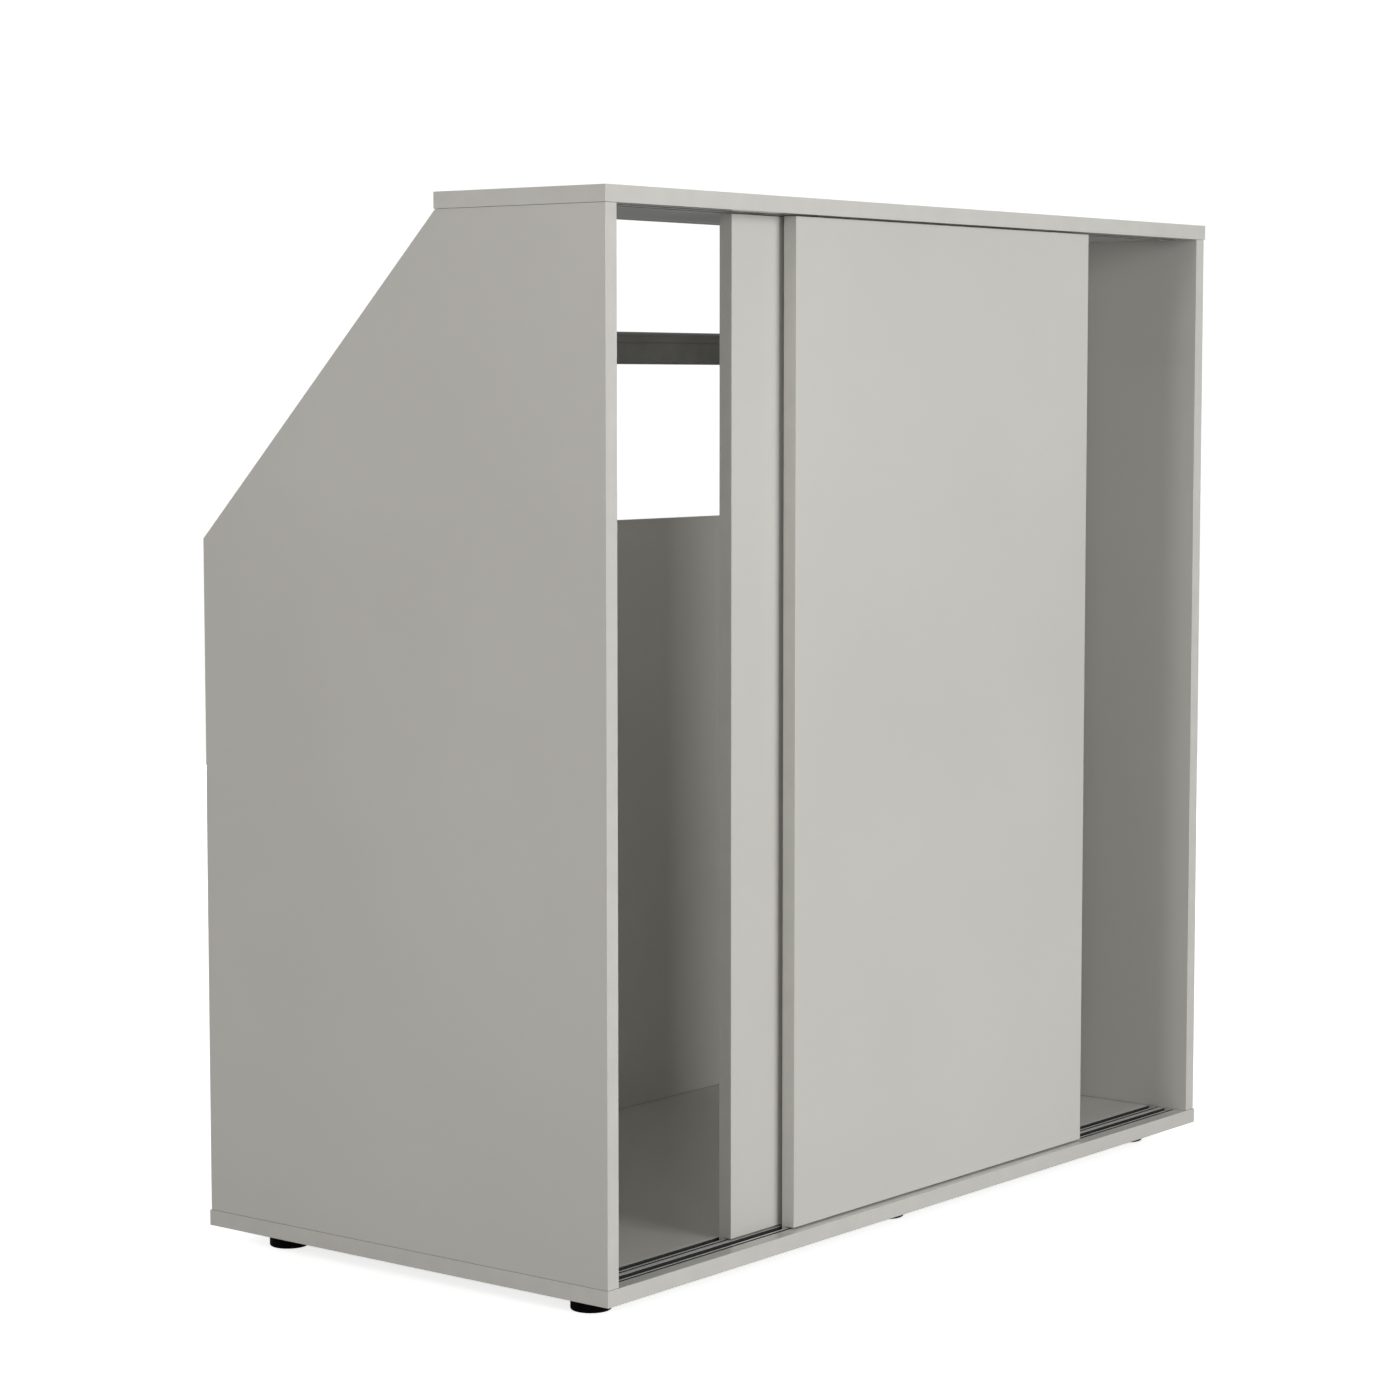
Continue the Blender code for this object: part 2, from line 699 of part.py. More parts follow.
def make_guide(name, x, panel, door):
    """A plunger that a spring holds up in the top track, in a housing with a slot for its tab."""
    edge = DOOR_HEIGHT
    half_width = GUIDE_HOUSING_WIDTH / 2
    low = edge - GUIDE_HOUSING_HEIGHT
    at = (x, 0, 0)
    pocket_outline = flat_bottomed(half_width + GAP, low - GAP, edge + PAST, HOUSING_CORNER)
    pocket_span = (HOUSING_Y - GAP, DOOR_BOARD + PAST)
    pocket_name = name + "_pocket"
    pocket = extruded(pocket_name, [pocket_outline], pocket_span, ALONG_Y, at, parent=door)
    cut(panel, pocket)

    outline = flat_bottomed(half_width, low, edge + GUIDE_HOUSING_TOP, HOUSING_CORNER)
    housing_name = name + "_housing"
    span = (HOUSING_Y, DOOR_BOARD)
    housing = extruded(housing_name, [outline], span, ALONG_Y, at, GREY_PLASTIC, door)
    room = PLUNGER_WIDTH / 2 + GAP
    cavity = box(
        name + "_cavity",
        (x - room, x + room),
        (CAVITY_FRONT, CAVITY_BACK),
        (edge + GUIDE_CAVITY_FLOOR, edge + PAST),
        parent=door,
    )
    cut(housing, cavity)
    tab_low = TAB_TOP - TAB_HEIGHT
    tab_slot = box(
        name + "_tab_slot",
        (x - TAB_WIDTH / 2 - GAP, x + TAB_WIDTH / 2 + GAP),
        (CAVITY_BACK - GAP, DOOR_BOARD + PAST),
        (edge + tab_low - PLUNGER_TRAVEL - GAP, edge + TAB_TOP + GAP),
        parent=door,
    )
    cut(housing, tab_slot)
    add_pegs(housing, panel, name, GUIDE_PEG_X, edge + GUIDE_PEG_Z, door)

    plunger_y = (CAVITY_FRONT + CAVITY_BACK) / 2
    half_thickness = PLUNGER_THICKNESS / 2
    plunger_outline = flat_topped(PLUNGER_WIDTH / 2, PLUNGER_BOTTOM, PLUNGER_TOP, PLUNGER_CORNER)
    plunger_name = name + "_plunger"
    plunger_at = (x, plunger_y, edge)
    plunger_span = (-half_thickness, half_thickness)
    plunger = extruded(
        plunger_name, [plunger_outline], plunger_span, ALONG_Y, plunger_at, GREY_PLASTIC, door
    )
    tab = box(
        plunger_name + "_tab",
        (x - TAB_WIDTH / 2, x + TAB_WIDTH / 2),
        (plunger_y, DOOR_BOARD + TAB_REACH),
        (edge + tab_low, edge + TAB_TOP),
        parent=door,
    )
    join(plunger, tab)

    spring_length = PLUNGER_BOTTOM - GUIDE_CAVITY_FLOOR - 2 * GAP
    spring_at = (x, plunger_y, edge + GUIDE_CAVITY_FLOOR + GAP)
    place(name + "_spring", spring_mesh(name + "_spring", spring_length), spring_at, STEEL, door)


def make_door(name, centre_x, lane_y):
    """A door with all that travels on it, placed by an empty at the middle of its lower edge."""
    door = bpy.data.objects.new(name, None)
    door.location = (centre_x, lane_y, DOOR_BOTTOM_Z)
    PARTS.objects.link(door)
    half_width = DOOR_WIDTH / 2
    panel = box(
        name + "_panel",
        (-half_width, half_width),
        (0, DOOR_BOARD),
        (-TONGUE_DROP, DOOR_HEIGHT),
        LAMINATE,
        door,
    )
    rebate = box(
        name + "_rebate",
        (-half_width - PAST, half_width + PAST),
        (-PAST, TONGUE_Y),
        (-TONGUE_DROP - PAST, 0),
        parent=door,
    )
    cut(panel, rebate)
    for hand, side in (("left", -1), ("right", 1)):
        roller_x = side * (half_width - ROLLER_INSET)
        make_roller(name + "_" + hand + "_roller", roller_x, panel, door)
        guide_x = side * (half_width - GUIDE_INSET)
        make_guide(name + "_" + hand + "_guide", guide_x, panel, door)


def make_wardrobe():
    bottom, top, back, sides = make_carcass()
    make_track("bottom_track", bottom, FLOOR_Z, -1)
    make_track("top_track", top, CEILING_Z, 1)
    make_end_stops()
    make_dowels(bottom, top, sides)
    make_back_screws(back, sides)
    make_feet(bottom)
    make_rail(sides)
    make_door("front_door", FRONT_DOOR_X, FRONT_LANE_Y)
    make_door("rear_door", REAR_DOOR_X, REAR_LANE_Y)


make_wardrobe()
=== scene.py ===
"""The looks of the sliding door wardrobe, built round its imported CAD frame.

Units are metres in the frame's own axes: +Z is up and the doors face -Y. Every board, track and
moulded fitting is a copy of its CAD node with rounded edges. The rail, its sockets and every small
round fitting are built anew at the sizes of their nodes.
"""

import json
import math

import bmesh
import bpy
from mathutils import Matrix, Vector


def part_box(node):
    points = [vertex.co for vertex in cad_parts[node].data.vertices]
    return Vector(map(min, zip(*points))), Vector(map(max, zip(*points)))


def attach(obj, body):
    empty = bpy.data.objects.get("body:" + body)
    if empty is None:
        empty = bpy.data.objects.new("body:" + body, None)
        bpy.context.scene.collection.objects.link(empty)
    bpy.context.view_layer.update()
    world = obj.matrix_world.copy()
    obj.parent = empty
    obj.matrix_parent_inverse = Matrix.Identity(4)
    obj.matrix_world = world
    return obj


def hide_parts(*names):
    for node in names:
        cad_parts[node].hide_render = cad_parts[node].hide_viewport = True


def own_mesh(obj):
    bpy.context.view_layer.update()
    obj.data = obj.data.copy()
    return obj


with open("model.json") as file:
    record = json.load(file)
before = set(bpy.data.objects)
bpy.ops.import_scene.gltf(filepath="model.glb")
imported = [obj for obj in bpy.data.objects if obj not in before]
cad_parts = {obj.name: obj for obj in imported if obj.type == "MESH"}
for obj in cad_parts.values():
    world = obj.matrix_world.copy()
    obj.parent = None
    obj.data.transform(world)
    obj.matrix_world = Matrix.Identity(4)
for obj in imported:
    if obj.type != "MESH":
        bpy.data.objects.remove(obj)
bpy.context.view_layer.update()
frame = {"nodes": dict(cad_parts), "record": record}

BODY_OF = {n: body for body, nodes in frame["record"]["behaviour"]["bodies"].items() for n in nodes}
DOORS = ("front_door", "rear_door")
HANDS = ("left", "right")

MM = 0.001

# How near to a plane an edge has to be to lie in it
TOUCH = 0.02 * MM

# How near corners have to be to be welded
WELD_DISTANCE = 0.001 * MM

# The least share of a face's normal along an axis for the face to look along it
SQUARE_ON = 0.9

QUARTER_TURN = math.pi / 2
FULL_TURN = 2 * math.pi
SMOOTH_ANGLE = math.radians(35)
FLAT_ANGLE = math.radians(0.5)
BLUNT_ANGLE = math.radians(50)
UP = Vector((0, 0, 1))
BACKWARD = Vector((0, 1, 0))

# A shape is drawn about Z. ALONG_Y lays it along Y with its outline in X and Z, ALONG_X along X
# with its outline in Y and Z. FACING_BACK turns what looks up to look backward.
ALONG_Y = Matrix.Rotation(QUARTER_TURN, 4, "X")
ALONG_X = Matrix.Rotation(QUARTER_TURN, 4, "Z") @ ALONG_Y
FACING_BACK = Matrix.Rotation(-QUARTER_TURN, 4, "X")

# Camera
CAMERA_PLACE = (-3.3689, -2.6137, 0.9836)
CAMERA_HEADING = 38.375
CAMERA_DOWN = 5.081
CAMERA_LENS = 90.39
CAMERA_SENSOR = 36.0

# Studio
PURE_WHITE = (1.0, 1.0, 1.0)
WARM_WHITE = (1.0, 0.97, 0.945)
WHITE = (*PURE_WHITE, 1.0)
FLOOR_RADIUS = 30.0
FLOOR_SEGMENTS = 96
FLOOR_SHADE = 0.97
FLOOR_GLOW = 0.76
FLOOR_ROUGHNESS = 0.9
BOUNCE_SHADE = 0.72
BOUNCE_DEPTH = 0.5 * MM
SKY_OVERHEAD = 0.20
SKY_RIGHT = 0.25
SKY_BACK = 0.35
BACKDROP = 1.05
STUDIO_MIDDLE = (0, 0, 0.6)
LIGHT_DISTANCE = 5.0

# Boards
BOARD_EDGE = 0.5 * MM
BACK_BOARD_EDGE = 0.4 * MM
EDGE_STEPS = 4

# Tracks and moulded fittings
TRACK_EDGE = 0.15 * MM
MOULDED_EDGE = 0.4 * MM
SMALL_MOULDED_EDGE = 0.3 * MM
FINE_STEPS = 3

# From a plunger's top to the middle of its thumb tab
PLUNGER_TOP_TO_TAB = 18.9 * MM

# Sides of the turned pieces
ROUND_STEPS = 64
SMALL_STEPS = 32
RIB_STEPS = 12

# Parts of each half circle of the ovals
RAIL_ARC_STEPS = 24
SOCKET_ARC_STEPS = 16


# Materials

# The part of a noise's range that holds most of its values
NOISE_LOW = 0.3
NOISE_HIGH = 0.7


def linear(channel):
    """An sRGB channel as the linear value that a shader takes."""
    if channel <= 0.04045:
        return channel / 12.92
    return ((channel + 0.055) / 1.055) ** 2.4


def rgb(*colour):
    return (*map(linear, colour), 1.0)


class Look:
    """A material: one Principled shader and the textures that feed it."""

    def __init__(self, name, **constants):
        self.material = bpy.data.materials.new(name)
        self.material.use_nodes = True
        self.tree = self.material.node_tree
        self.shader = self.tree.nodes["Principled BSDF"]
        for socket, value in constants.items():
            self.shader.inputs[socket.replace("_", " ")].default_value = value
        self.place = self.tree.nodes.new("ShaderNodeTexCoord").outputs["Object"]

    def node(self, kind, **inputs):
        made = self.tree.nodes.new(kind)
        for socket, value in inputs.items():
            made.inputs[socket.replace("_", " ")].default_value = value
        return made

    def link(self, source, target):
        self.tree.links.new(source, target)

    def noise(self, scale, detail, stretch=(1, 1, 1)):
        """Cloudy noise, scale features to the metre, drawn out along an axis of low stretch."""
        mapping = self.node("ShaderNodeMapping", Scale=stretch)
        self.link(self.place, mapping.inputs["Vector"])
        texture = self.node("ShaderNodeTexNoise", Scale=scale, Detail=detail)
        self.link(mapping.outputs["Vector"], texture.inputs["Vector"])
        return texture.outputs["Fac"]

    def colour(self, source, dark, light):
        """The base colour runs from dark to light over the source's range."""
        ramp = self.node("ShaderNodeValToRGB")
        first, last = ramp.color_ramp.elements
        first.position = NOISE_LOW
        first.color = dark
        last.position = NOISE_HIGH
        last.color = light
        self.link(source, ramp.inputs["Fac"])
        self.link(ramp.outputs["Color"], self.shader.inputs["Base Color"])

    def roughness(self, source, smooth, rough):
        """The roughness runs from smooth to rough over the source's range."""
        spread = self.node("ShaderNodeMapRange", From_Min=NOISE_LOW, From_Max=NOISE_HIGH)
        spread.inputs["To Min"].default_value = smooth
        spread.inputs["To Max"].default_value = rough
        self.link(source, spread.inputs["Value"])
        self.link(spread.outputs["Result"], self.shader.inputs["Roughness"])

    def bump(self, *layers):
        """Relief from (source, height in metres) layers, one over the other."""
        below = None
        for source, height in layers:
            relief = self.node("ShaderNodeBump", Strength=1.0, Distance=height)
            self.link(source, relief.inputs["Height"])
            if below is not None:
                self.link(below, relief.inputs["Normal"])
            below = relief.outputs["Normal"]
        self.link(below, self.shader.inputs["Normal"])


def laminate_look():
    """Glossy light grey laminate, with a faint cloud in its colour and a fine pressed-in relief."""
    look = Look("light_grey_laminate", IOR=1.5)
    look.colour(
        look.noise(scale=2.2, detail=3.0),
        rgb(0.775, 0.770, 0.748),
        rgb(0.795, 0.790, 0.768),
    )
    look.roughness(look.noise(scale=9.0, detail=6.0), smooth=0.03, rough=0.07)
    look.bump((look.noise(scale=120.0, detail=2.0), 1.2e-6))
    return look.material


def edge_band_look():
    """Edge band in the boards' colour, a little less glossy and a little more mottled."""
    look = Look("light_grey_edge_band", IOR=1.5)
    look.colour(
        look.noise(scale=30.0, detail=4.0),
        rgb(0.780, 0.775, 0.753),
        rgb(0.800, 0.795, 0.773),
    )
    look.roughness(look.noise(scale=60.0, detail=3.0), smooth=0.10, rough=0.16)
    look.bump((look.noise(scale=150.0, detail=2.0), 1.2e-6))
    return look.material


def back_board_look():
    """Satin laminate of the thin back board."""
    look = Look("back_board_laminate", IOR=1.5)
    look.colour(
        look.noise(scale=3.0, detail=4.0),
        rgb(0.755, 0.750, 0.730),
        rgb(0.785, 0.780, 0.760),
    )
    look.roughness(look.noise(scale=14.0, detail=5.0), smooth=0.30, rough=0.42)
    look.bump((look.noise(scale=700.0, detail=3.0), 1.2e-5))
    return look.material


def aluminium_look():
    """Satin anodised aluminium: a milky oxide layer over the metal, with drawing lines along X."""
    look = Look("drawn_aluminium", Metallic=0.25, IOR=1.6)
    lines = look.noise(scale=2400.0, detail=3.0, stretch=(0.004, 1, 1))
    look.colour(
        look.noise(scale=500.0, detail=3.0, stretch=(0.02, 1, 1)),
        rgb(0.82, 0.82, 0.81),
        rgb(0.88, 0.88, 0.87),
    )
    look.roughness(lines, smooth=0.10, rough=0.20)
    look.bump((lines, 4e-7))
    return look.material


def anthracite_look():
    """Satin anthracite coating with a fine powder texture."""
    look = Look("anthracite_coating", IOR=1.5)
    look.colour(
        look.noise(scale=40.0, detail=4.0),
        rgb(0.485, 0.485, 0.476),
        rgb(0.520, 0.520, 0.510),
    )
    look.roughness(look.noise(scale=700.0, detail=3.0), smooth=0.34, rough=0.46)
    look.bump((look.noise(scale=1900.0, detail=2.0), 1.4e-5))
    return look.material


def moulded_look(name, dark, light, smooth, rough, grain, gloss=0.5):
    """Injection-moulded plastic with a spark-eroded grain."""
    look = Look(name, IOR=1.46, Specular_IOR_Level=gloss)
    look.colour(look.noise(scale=120.0, detail=4.0), dark, light)
    look.roughness(look.noise(scale=400.0, detail=3.0), smooth, rough)
    look.bump((look.noise(scale=2200.0, detail=2.0), grain))
    return look.material


def steel_look():
    """Zinc-plated steel with a spangled tint."""
    look = Look("zinc_plated_steel", Metallic=1.0)
    look.colour(look.noise(scale=900.0, detail=4.0), rgb(0.66, 0.67, 0.69), rgb(0.80, 0.80, 0.79))
    look.roughness(look.noise(scale=1600.0, detail=3.0), smooth=0.20, rough=0.36)
    look.bump((look.noise(scale=3000.0, detail=2.0), 4e-6))
    return look.material


def beech_look():
    """Raw beech whose grain runs along the dowel."""
    look = Look("raw_beech", IOR=1.45)
    grain = look.noise(scale=1500.0, detail=5.0, stretch=(1, 1, 0.05))
    look.colour(grain, rgb(0.66, 0.49, 0.32), rgb(0.84, 0.70, 0.52))
    look.roughness(grain, smooth=0.50, rough=0.68)
    look.bump((grain, 3e-5))
    return look.material


LAMINATE = laminate_look()
EDGE_BAND = edge_band_look()
BACK_BOARD = back_board_look()
ALUMINIUM = aluminium_look()
ANTHRACITE = anthracite_look()
BLACK_PLASTIC = moulded_look(
    "black_plastic",
    dark=rgb(0.030, 0.030, 0.031),
    light=rgb(0.050, 0.050, 0.051),
    smooth=0.40,
    rough=0.52,
    grain=1.2e-5,
    gloss=0.08,
)
GREY_PLASTIC = moulded_look(
    "grey_plastic",
    dark=rgb(0.53, 0.53, 0.52),
    light=rgb(0.57, 0.57, 0.56),
    smooth=0.38,
    rough=0.52,
    grain=1.4e-5,
)
# Dark grey painted on the inner faces of the track grooves: painted shade standing in for the
# grooves' shadow.
GROOVE_PAINTED_SHADE = moulded_look(
    "groove_painted_shade",
    dark=rgb(0.21, 0.21, 0.21),
    light=rgb(0.25, 0.25, 0.25),
    smooth=0.16,
    rough=0.24,
    grain=2e-6,
)
WHITE_NYLON = moulded_look(
    "white_nylon",
    dark=rgb(0.83, 0.82, 0.78),
    light=rgb(0.88, 0.87, 0.83),
    smooth=0.32,
    rough=0.44,
    grain=6e-6,
)
STEEL = steel_look()
BEECH = beech_look()


# Modelling


def centre_of(node):
    low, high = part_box(node)
    return (low + high) / 2


def size_of(node):
    low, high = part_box(node)
    return high - low


def keep_shape(piece, *materials):
    """Smooth shading with true edges, and the flat faces left flat."""
    for material in materials:
        piece.data.materials.append(material)
    piece.data.shade_smooth()
    piece.data.set_sharp_from_angle(angle=SMOOTH_ANGLE)
    weighted = piece.modifiers.new("flat_faces", "WEIGHTED_NORMAL")
    weighted.weight = 100
    weighted.keep_sharp = True


def new_piece(name, form, *materials):
    mesh = bpy.data.meshes.new(name)
    form.to_mesh(mesh)
    form.free()
    piece = bpy.data.objects.new(name, mesh)
    bpy.context.scene.collection.objects.link(piece)
    keep_shape(piece, *materials)
    return piece


def stand_for(piece, node):
    """The piece takes a node's place and its body."""
    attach(piece, BODY_OF[node])
    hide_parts(node)


def add_to(piece, node):
    """The piece is a detail on a node: it shares the node's body."""
    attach(piece, BODY_OF[node])


def copy_of(node):
    """A node's mesh with its seams welded and its flat faces whole."""
    form = bmesh.new()
    form.from_mesh(frame["nodes"][node].data)
    bmesh.ops.remove_doubles(form, verts=form.verts, dist=WELD_DISTANCE)
    bmesh.ops.dissolve_limit(form, angle_limit=FLAT_ANGLE, verts=form.verts, edges=form.edges)
    return form


def box_planes(node):
    """The six sides of a node's box as (direction, height) planes."""
    low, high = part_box(node)
    sides = []
    for axis in range(3):
        direction = Vector([float(i == axis) for i in range(3)])
        sides += [(direction, low[axis]), (direction, high[axis])]
    return sides


def lies_in(edge, plane):
    direction, height = plane
    return all(abs(direction.dot(end.co) - height) < TOUCH for end in edge.verts)


def round_edges(form, chosen, radius, steps):
    """Rounds the chosen edges. The new faces take the second material."""
    bmesh.ops.bevel(
        form,
        geom=chosen,
        offset=radius,
        offset_type="OFFSET",
        segments=steps,
        profile=0.5,
        affect="EDGES",
        clamp_overlap=False,
        material=1,
    )


def outer_edges(form, planes):
    """The convex edges, but not the blunt ones, where two of the planes meet."""
    return [
        edge
        for edge in form.edges
        if edge.is_convex
        and edge.calc_face_angle() > BLUNT_ANGLE
        and sum(lies_in(edge, plane) for plane in planes) > 1
    ]


def make_board(
    node, extra_planes=(), butted=(), radius=BOARD_EDGE, face=LAMINATE, band=EDGE_BAND
):
    """A board with edge bands round it. Its edges stay sharp in the butted planes."""
    form = copy_of(node)
    sizes = list(size_of(node))
    thin_axis = sizes.index(min(sizes))
    for side in form.faces:
        side.material_index = 0 if abs(side.normal[thin_axis]) > SQUARE_ON else 1
    chosen = [
        edge
        for edge in outer_edges(form, [*box_planes(node), *extra_planes])
        if not any(lies_in(edge, plane) for plane in butted)
    ]
    round_edges(form, chosen, radius, EDGE_STEPS)
    stand_for(new_piece(node + "_board", form, face, band), node)


def make_side_board(node):
    """A side panel has a 45 degree cut, and its ends are butted against the other boards."""
    ends = box_planes(node)[4:]
    off_the_slope = (UP + BACKWARD).normalized()
    corners = frame["nodes"][node].data.vertices
    slope = off_the_slope, max(off_the_slope.dot(corner.co) for corner in corners)
    make_board(node, [slope], butted=ends)


def make_door_board(node):
    """A door's lower edge steps down to the tongue at its back."""
    corners = [corner.co for corner in frame["nodes"][node].data.vertices]
    heights = sorted({round(corner.z, 6) for corner in corners})
    lowest = [corner for corner in corners if corner.z < heights[0] + TOUCH]
    step = UP, heights[1]
    tongue_front = BACKWARD, round(min(corner.y for corner in lowest), 6)
    make_board(node, [step, tongue_front])


def make_track(node):
    """A drawn profile: every long outer edge is broken by a fine radius. The faces inside its
    grooves are a dark grey that paints in the grooves' shade.
    """
    low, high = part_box(node)
    form = copy_of(node)
    long_edges = [
        edge
        for edge in form.edges
        if edge.is_convex
        and edge.calc_face_angle() > SMOOTH_ANGLE
        and edge.calc_length() > size_of(node).x / 2
    ]
    round_edges(form, long_edges, TRACK_EDGE, FINE_STEPS)
    # Faces inside the grooves take the dark painted shade, and the rest stays aluminium.
    for face in form.faces:
        middle = face.calc_center_median()
        below_face = min(middle.z - low.z, high.z - middle.z) > TRACK_EDGE
        between_sides = min(middle.y - low.y, high.y - middle.y) > TRACK_EDGE
        at_an_end = abs(face.normal.x) > SQUARE_ON
        in_groove_shade = below_face and between_sides and not at_an_end
        face.material_index = 1 if in_groove_shade else 0
    stand_for(new_piece(node + "_profile", form, ALUMINIUM, GROOVE_PAINTED_SHADE), node)


def make_moulding(node, material, radius=MOULDED_EDGE):
    """A moulded block whose rims, where the outline meets its two flat sides, are rounded."""
    low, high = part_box(node)
    form = copy_of(node)
    sides = [(BACKWARD, low.y), (BACKWARD, high.y)]
    rims = [
        edge
        for edge in form.edges
        if edge.is_convex
        and edge.calc_face_angle() > SMOOTH_ANGLE
        and any(lies_in(edge, side) for side in sides)
        and edge.calc_length() > radius
    ]
    round_edges(form, rims, radius, FINE_STEPS)
    for face in form.faces:
        face.material_index = 0
    stand_for(new_piece(node + "_moulding", form, material), node)


def loft(name, rings, material, closed=False, turn=Matrix(), centre=(0, 0, 0)):
    """A skin over rings of equally many points, capped at its ends or closed on itself."""
    form = bmesh.new()
    loops = [[form.verts.new(point) for point in ring] for ring in rings]
    pairs = list(zip(loops, loops[1:]))
    if closed:
        pairs.append((loops[-1], loops[0]))
    for one, other in pairs:
        for here, ahead in zip(range(-1, len(one) - 1), range(len(one))):
            form.faces.new((one[here], one[ahead], other[ahead], other[here]))
    if not closed:
        form.faces.new(loops[0])
        form.faces.new(loops[-1])
    bmesh.ops.recalc_face_normals(form, faces=form.faces)
    form.transform(Matrix.Translation(centre) @ turn)
    return new_piece(name, form, material)


def circle(radius, height, steps):
    angles = [FULL_TURN * step / steps for step in range(steps)]
    return [(radius * math.cos(angle), radius * math.sin(angle), height) for angle in angles]


def turned(
    name, profile, material, closed=False, turn=Matrix(), centre=(0, 0, 0), steps=ROUND_STEPS
):
    """A profile of (radius, height) points spun about Z."""
    rings = [circle(radius, height, steps) for radius, height in profile]
    return loft(name, rings, material, closed, turn, centre)


def arc(centre, radius, start, end, steps):
    """Points on an arc, its angles in quarter turns."""
    for step in range(steps + 1):
        angle = (start + (end - start) * step / steps) * QUARTER_TURN
        yield centre[0] + radius * math.cos(angle), centre[1] + radius * math.sin(angle)


# Pieces


def make_boards():
    make_board("bottom_panel")
    make_board("top_panel")
    make_side_board("left_side_panel")
    make_side_board("right_side_panel")
    make_board("back_panel", radius=BACK_BOARD_EDGE, face=BACK_BOARD, band=BACK_BOARD)
    for door in DOORS:
        make_door_board(door + "_panel")


def make_foot(node):
    """A black foot: a stem, a shoulder, a fine groove under the shoulder and a hollowed sole."""
    middle = centre_of(node)
    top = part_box(node)[1].z
    radius = size_of(node).x / 2
    stem_radius = 4 * MM
    stem_chamfer = 0.6 * MM
    shoulder = 22.7 * MM
    shoulder_edge = 1.2 * MM
    groove_top = shoulder - 4.0 * MM
    groove_bottom = shoulder - 5.3 * MM
    groove_depth = 0.5 * MM
    groove_flank = 0.3 * MM
    sole_edge = 2 * MM
    sole_hollow = 1.2 * MM
    sole_rim = 6 * MM
    gate_radius = 6 * MM
    gate_height = 0.2 * MM
    profile = [
        (stem_radius - stem_chamfer, top),
        (stem_radius, top - stem_chamfer),
        (stem_radius, shoulder),
        *arc((radius - shoulder_edge, shoulder - shoulder_edge), shoulder_edge, 1, 0, steps=6),
        (radius, groove_top),
        (radius - groove_depth, groove_top - groove_flank),
        (radius - groove_depth, groove_bottom + groove_flank),
        (radius, groove_bottom),
        *arc((radius - sole_edge, sole_edge), sole_edge, 0, -1, steps=8),
        (radius - sole_rim, 0),
        (radius - sole_rim - MM, sole_hollow),
        (gate_radius + MM, sole_hollow),
        (gate_radius, gate_height),
    ]
    foot = turned(node + "_turned", profile, BLACK_PLASTIC, centre=(middle.x, middle.y, 0))
    stand_for(foot, node)


def make_feet():
    for row in ("front", "back"):
        for column in ("left", "middle", "right"):
            make_foot("foot_" + row + "_" + column)


def oval(half_thickness, half_height, steps):
    """An upright oval of two half circles."""
    straight = half_height - half_thickness
    return [
        *arc((0, straight), half_thickness, 0, 2, steps),
        *arc((0, -straight), half_thickness, 2, 4, steps),
    ]


def rail_section(inset, groove):
    """The rail's oval, inset from its outside, with a fine groove along both flat sides."""
    size = size_of("clothes_rail")
    half_thickness = size.y / 2 - inset
    straight = size.z / 2 - size.y / 2
    groove_z = 6.2 * MM
    lip = 0.6 * MM
    soft = 0.15 * MM
    groove_edge = half_thickness - (soft if groove else 0)
    groove_floor = half_thickness - groove
    rising = [
        (half_thickness, groove_z - lip - soft),
        (groove_edge, groove_z - lip),
        (groove_floor, groove_z - lip + soft),
        (groove_floor, groove_z + lip - soft),
        (groove_edge, groove_z + lip),
        (half_thickness, groove_z + lip + soft),
    ]
    return [
        *rising,
        *arc((0, straight), half_thickness, 0, 2, RAIL_ARC_STEPS),
        *[(-y, z) for y, z in reversed(rising)],
        *arc((0, -straight), half_thickness, 2, 4, RAIL_ARC_STEPS),
    ]


def make_rail():
    """An extruded tube, open at both ends."""
    node = "clothes_rail"
    half_length = size_of(node).x / 2
    wall = 1.8 * MM
    groove = 0.6 * MM
    outside = rail_section(0, groove)
    inside = rail_section(wall, 0)
    rings = [
        [(y, z, half_length * end) for y, z in section]
        for section, end in ((outside, -1), (outside, 1), (inside, 1), (inside, -1))
    ]
    middle = centre_of(node)
    tube = loft(node + "_tube", rings, ANTHRACITE, closed=True, turn=ALONG_X, centre=middle)
    stand_for(tube, node)


def join_mesh(piece, tool):
    """Makes the tool, which is used up, one solid with the piece."""
    union = piece.modifiers.new("union", "BOOLEAN")
    union.operation = "UNION"
    union.solver = "EXACT"
    union.object = tool
    settle(piece, tool)


def cut_mesh(piece, tool):
    """Cuts the tool's shape, which is used up, out of the piece."""
    difference = piece.modifiers.new("difference", "BOOLEAN")
    difference.operation = "DIFFERENCE"
    difference.solver = "EXACT"
    difference.object = tool
    settle(piece, tool)


def settle(piece, tool):
    """Applies the piece's modifiers and removes the tool."""
    bpy.context.view_layer.update()
    graph = bpy.context.evaluated_depsgraph_get()
    weighted = piece.modifiers["flat_faces"]
    weighted.show_viewport = False
    graph.update()
    mesh = bpy.data.meshes.new_from_object(piece.evaluated_get(graph))
    old = piece.data
    piece.modifiers.clear()
    piece.data = mesh
    bpy.data.meshes.remove(old)
    bpy.data.objects.remove(tool, do_unlink=True)
    keep_shape(piece)


